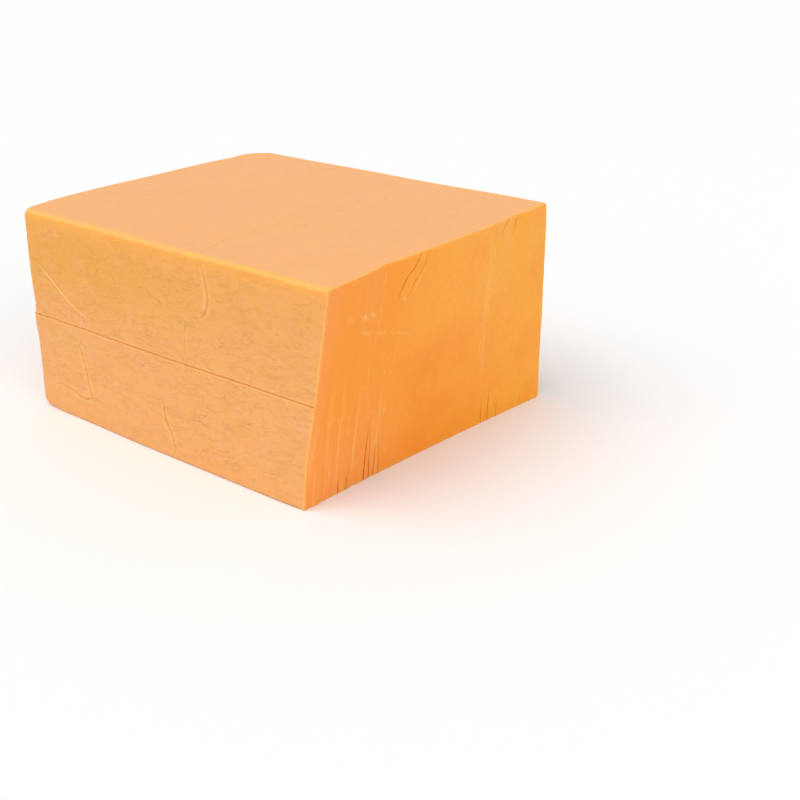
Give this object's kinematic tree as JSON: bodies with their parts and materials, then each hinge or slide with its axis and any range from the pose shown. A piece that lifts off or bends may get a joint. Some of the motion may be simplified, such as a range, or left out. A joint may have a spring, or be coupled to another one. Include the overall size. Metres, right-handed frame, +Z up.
{
  "type": "cheddar block",
  "caption": "Large rectangular block of orange cheddar with creased, rounded skin on five sides and one slanting, wire-dragged cut end.",
  "frame": {"origin": "middle of the block's outline on the surface that it lies on", "axes": "+Z up out of the broad top face, +X along the length towards the cut end, +Y towards the back long side"},
  "size_m": [0.3474, 0.2816, 0.1794],
  "materials": {
    "cheddar": "smooth waxy orange cheese: a dull, paler skin on the uncut sides and a moister, stronger orange cut face"
  },
  "bodies": {
    "root": {"cheddar_block": "cheddar"}
  },
  "joints": []
}
